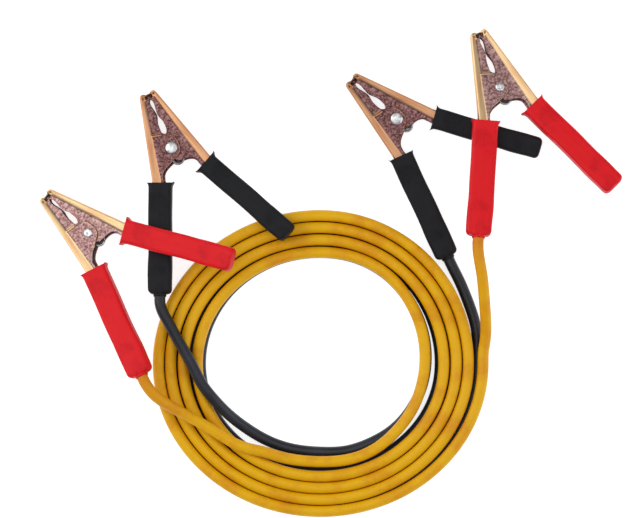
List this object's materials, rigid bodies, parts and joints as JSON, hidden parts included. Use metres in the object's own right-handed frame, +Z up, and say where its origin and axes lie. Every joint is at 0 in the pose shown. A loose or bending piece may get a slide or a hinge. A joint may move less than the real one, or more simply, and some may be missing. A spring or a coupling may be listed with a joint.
{
  "type": "car jumper cable",
  "caption": "Twin battery booster cable wound in a flat oval coil, with copper-plated spring clamps in red and black vinyl grips at its ends.",
  "frame": {"origin": "on the surface the set lies on, below the middle of the outline of the four clamps", "axes": "+X runs from the left pair of clamps to the right pair, +Y from the coil towards the clamp tips, +Z up from the surface"},
  "size_m": [0.4358, 0.3667, 0.0558],
  "materials": {
    "copper_plate": "copper-plated pressed steel, satin",
    "rivet_steel": "bright zinc-plated steel",
    "spring_steel": "grey spring steel",
    "red_vinyl": "semi-gloss dipped vinyl",
    "black_vinyl": "satin dipped vinyl",
    "yellow_jacket": "semi-gloss vinyl cable jacket",
    "black_jacket": "semi-gloss vinyl cable jacket"
  },
  "bodies": {
    "cable_set": {"left_black_cable_jaw": "copper_plate", "left_black_rivet": "rivet_steel", "left_black_spring": "spring_steel", "left_black_cable_grip": "black_vinyl", "left_red_cable_jaw": "copper_plate", "left_red_rivet": "rivet_steel", "left_red_spring": "spring_steel", "left_red_cable_grip": "red_vinyl", "right_black_cable_jaw": "copper_plate", "right_black_rivet": "rivet_steel", "right_black_spring": "spring_steel", "right_black_cable_grip": "black_vinyl", "right_red_cable_jaw": "copper_plate", "right_red_rivet": "rivet_steel", "right_red_spring": "spring_steel", "right_red_cable_grip": "red_vinyl", "yellow_coil": "yellow_jacket", "black_coil": "black_jacket", "yellow_lead_left": "yellow_jacket", "yellow_lead_right": "yellow_jacket", "black_lead_left": "black_jacket", "black_lead_right": "black_jacket"},
    "left_black_free_handle": {"left_black_free_jaw": "copper_plate", "left_black_free_grip": "black_vinyl"},
    "left_red_free_handle": {"left_red_free_jaw": "copper_plate", "left_red_free_grip": "red_vinyl"},
    "right_black_free_handle": {"right_black_free_jaw": "copper_plate", "right_black_free_grip": "black_vinyl"},
    "right_red_free_handle": {"right_red_free_jaw": "copper_plate", "right_red_free_grip": "red_vinyl"}
  },
  "joints": [
    {"name": "left_black_squeeze", "type": "hinge", "parent": "cable_set", "child": "left_black_free_handle", "pos_m": [-0.11801, 0.04081, 0.0117], "axis": [0.0989, -0.1137, -0.9886], "range_deg": [0, 36], "stiffness_Nm_per_rad": 2, "springref_deg": -28.65, "deforming": ["left_black_spring"]},
    {"name": "left_red_squeeze", "type": "hinge", "parent": "cable_set", "child": "left_red_free_handle", "pos_m": [-0.17951, -0.02309, 0.018], "axis": [0.2756, -0.0909, -0.957], "range_deg": [0, 36], "stiffness_Nm_per_rad": 2, "springref_deg": -28.65, "deforming": ["left_red_spring"]},
    {"name": "right_black_squeeze", "type": "hinge", "parent": "cable_set", "child": "right_black_free_handle", "pos_m": [0.05051, 0.06301, 0.00615], "axis": [0, 0, -1], "range_deg": [0, 36], "stiffness_Nm_per_rad": 2, "springref_deg": -28.65, "deforming": ["right_black_spring"]},
    {"name": "right_red_squeeze", "type": "hinge", "parent": "cable_set", "child": "right_red_free_handle", "pos_m": [0.12748, 0.08593, 0.013], "axis": [-0.0587, -0.1958, -0.9789], "range_deg": [0, 36], "stiffness_Nm_per_rad": 2, "springref_deg": -28.65, "deforming": ["right_red_spring"]}
  ]
}
